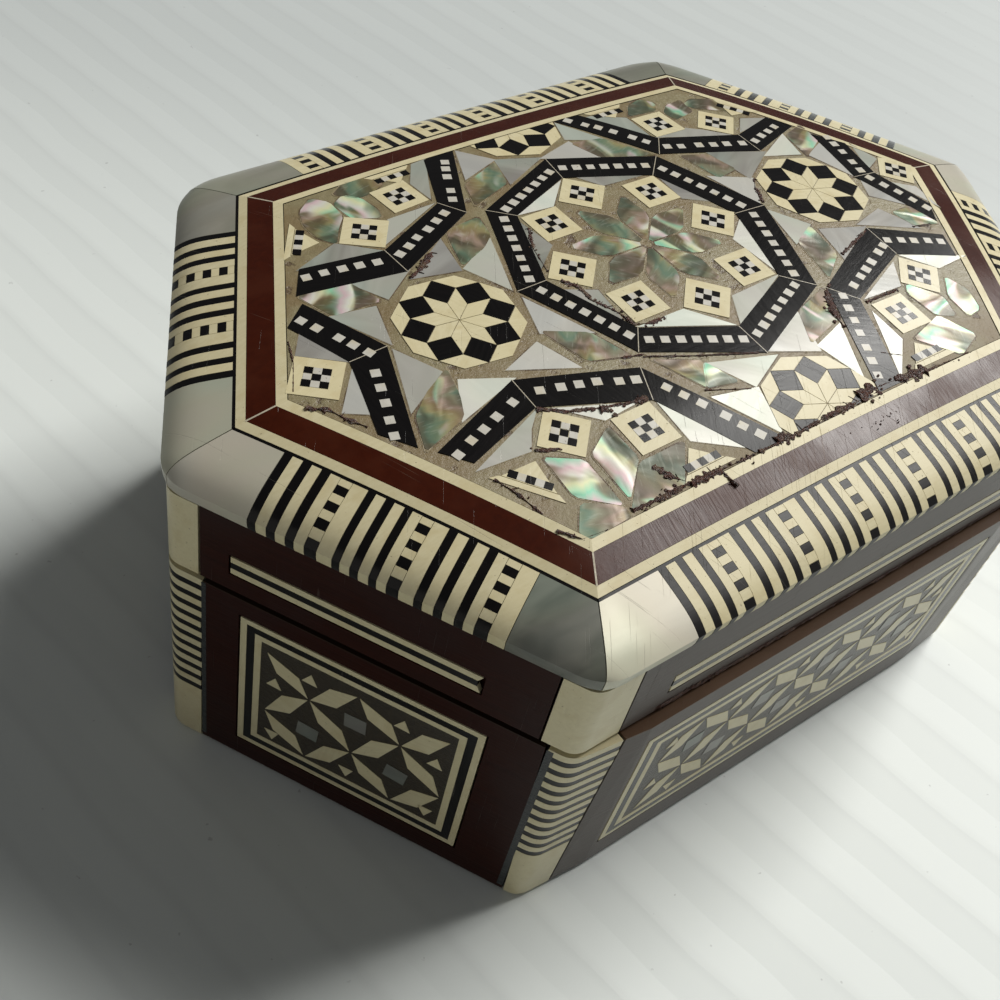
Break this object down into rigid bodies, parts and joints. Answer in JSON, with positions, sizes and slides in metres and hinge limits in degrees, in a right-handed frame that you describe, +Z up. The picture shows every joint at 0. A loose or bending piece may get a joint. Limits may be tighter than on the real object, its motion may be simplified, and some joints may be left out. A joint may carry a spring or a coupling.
{
  "type": "shell box",
  "caption": "Six-sided wooden box with a domed lift-off lid, inlaid with pearl, bone and black wood in a geometric star pattern.",
  "frame": {"origin": "middle of the box's underside", "axes": "+X along the long axis to the right end, +Y to the back, +Z up through the lid"},
  "size_m": [0.1514, 0.1018, 0.0628],
  "materials": {
    "wood": "dark red-brown lacquer",
    "red_wood": "red-brown gloss lacquer",
    "black_wood": "black gloss, with a row of small bone squares",
    "striped_inlay": "bone and black wood strips, polished",
    "bone": "polished bone",
    "pearl": "polished mother-of-pearl",
    "abalone": "polished abalone shell",
    "putty": "filler ground with small pearl tiles, lacquered"
  },
  "bodies": {
    "root": {"abalone_star": "abalone", "base_case": "wood", "base_corner_back_left": "striped_inlay", "base_corner_back_right": "striped_inlay", "base_corner_front_left": "striped_inlay", "base_corner_front_right": "striped_inlay", "base_corner_left": "striped_inlay", "base_corner_right": "striped_inlay", "border_pearl_back_1": "pearl", "border_pearl_back_2": "pearl", "border_pearl_front_1": "pearl", "border_pearl_front_2": "pearl", "border_pearl_left_back_1": "pearl", "border_pearl_left_back_2": "pearl", "border_pearl_left_front_1": "pearl", "border_pearl_left_front_2": "pearl", "border_pearl_right_back_1": "pearl", "border_pearl_right_back_2": "pearl", "border_pearl_right_front_1": "pearl", "border_pearl_right_front_2": "pearl", "border_stripes_back": "striped_inlay", "border_stripes_front": "striped_inlay", "border_stripes_left_back": "striped_inlay", "border_stripes_left_front": "striped_inlay", "border_stripes_right_back": "striped_inlay", "border_stripes_right_front": "striped_inlay", "inner_bone_line": "bone", "lid_case": "wood", "lid_corner_back_left": "bone", "lid_corner_back_right": "bone", "lid_corner_front_left": "bone", "lid_corner_front_right": "bone", "lid_corner_left": "bone", "lid_corner_right": "bone", "lid_stringing_back": "striped_inlay", "lid_stringing_front": "striped_inlay", "lid_stringing_left_back": "striped_inlay", "lid_stringing_left_front": "striped_inlay", "lid_stringing_right_back": "striped_inlay", "lid_stringing_right_front": "striped_inlay", "medallion_back": "bone", "medallion_front": "bone", "medallion_left": "bone", "medallion_right": "bone", "mosaic_bed": "putty", "octagon_strap": "black_wood", "outer_bone_line": "bone", "red_band": "red_wood", "side_panel_back": "striped_inlay", "side_panel_front": "striped_inlay", "side_panel_left_back": "striped_inlay", "side_panel_left_front": "striped_inlay", "side_panel_right_back": "striped_inlay", "side_panel_right_front": "striped_inlay", "strap_left": "black_wood", "strap_left_back": "black_wood", "strap_left_front": "black_wood", "strap_right": "black_wood", "strap_right_back": "black_wood", "strap_right_front": "black_wood"}
  },
  "joints": []
}
